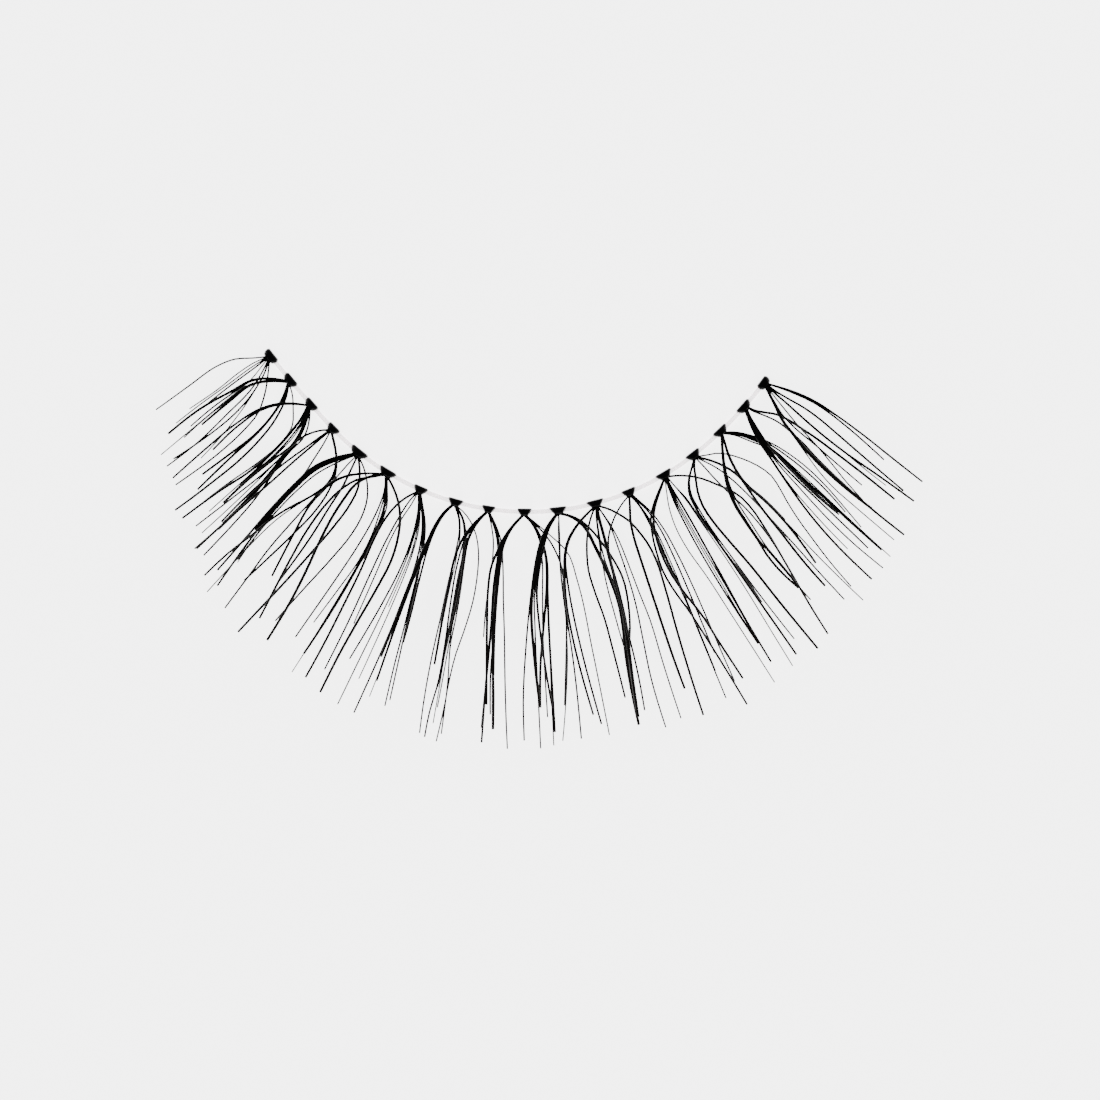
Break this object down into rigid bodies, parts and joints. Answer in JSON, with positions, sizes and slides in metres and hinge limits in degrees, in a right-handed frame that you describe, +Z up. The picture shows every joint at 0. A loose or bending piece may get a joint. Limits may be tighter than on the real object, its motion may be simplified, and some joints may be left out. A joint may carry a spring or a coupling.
{
  "type": "false eyelash strip",
  "caption": "Strip of black false eyelashes: curved clear band threaded through glue knots, each with a fan of crossing, upward-curling lashes.",
  "frame": {"origin": "middle of the strip's footprint, on the surface that it lies on", "axes": "+X along the strip from the lash_cluster_01 end to the lash_cluster_18 end, +Y to the eye side of the band, +Z up, the way the tips curl"},
  "size_m": [0.0382, 0.02, 0.0044],
  "materials": {
    "lash_black": "black synthetic fibre with a soft sheen, set in black glue",
    "band_clear": "clear film with a faint pink cast"
  },
  "bodies": {
    "root": {"band": "band_clear", "lash_cluster_01": "lash_black", "lash_cluster_02": "lash_black", "lash_cluster_03": "lash_black", "lash_cluster_04": "lash_black", "lash_cluster_05": "lash_black", "lash_cluster_06": "lash_black", "lash_cluster_07": "lash_black", "lash_cluster_08": "lash_black", "lash_cluster_09": "lash_black", "lash_cluster_10": "lash_black", "lash_cluster_11": "lash_black", "lash_cluster_12": "lash_black", "lash_cluster_13": "lash_black", "lash_cluster_14": "lash_black", "lash_cluster_15": "lash_black", "lash_cluster_16": "lash_black", "lash_cluster_17": "lash_black", "lash_cluster_18": "lash_black"}
  },
  "joints": []
}
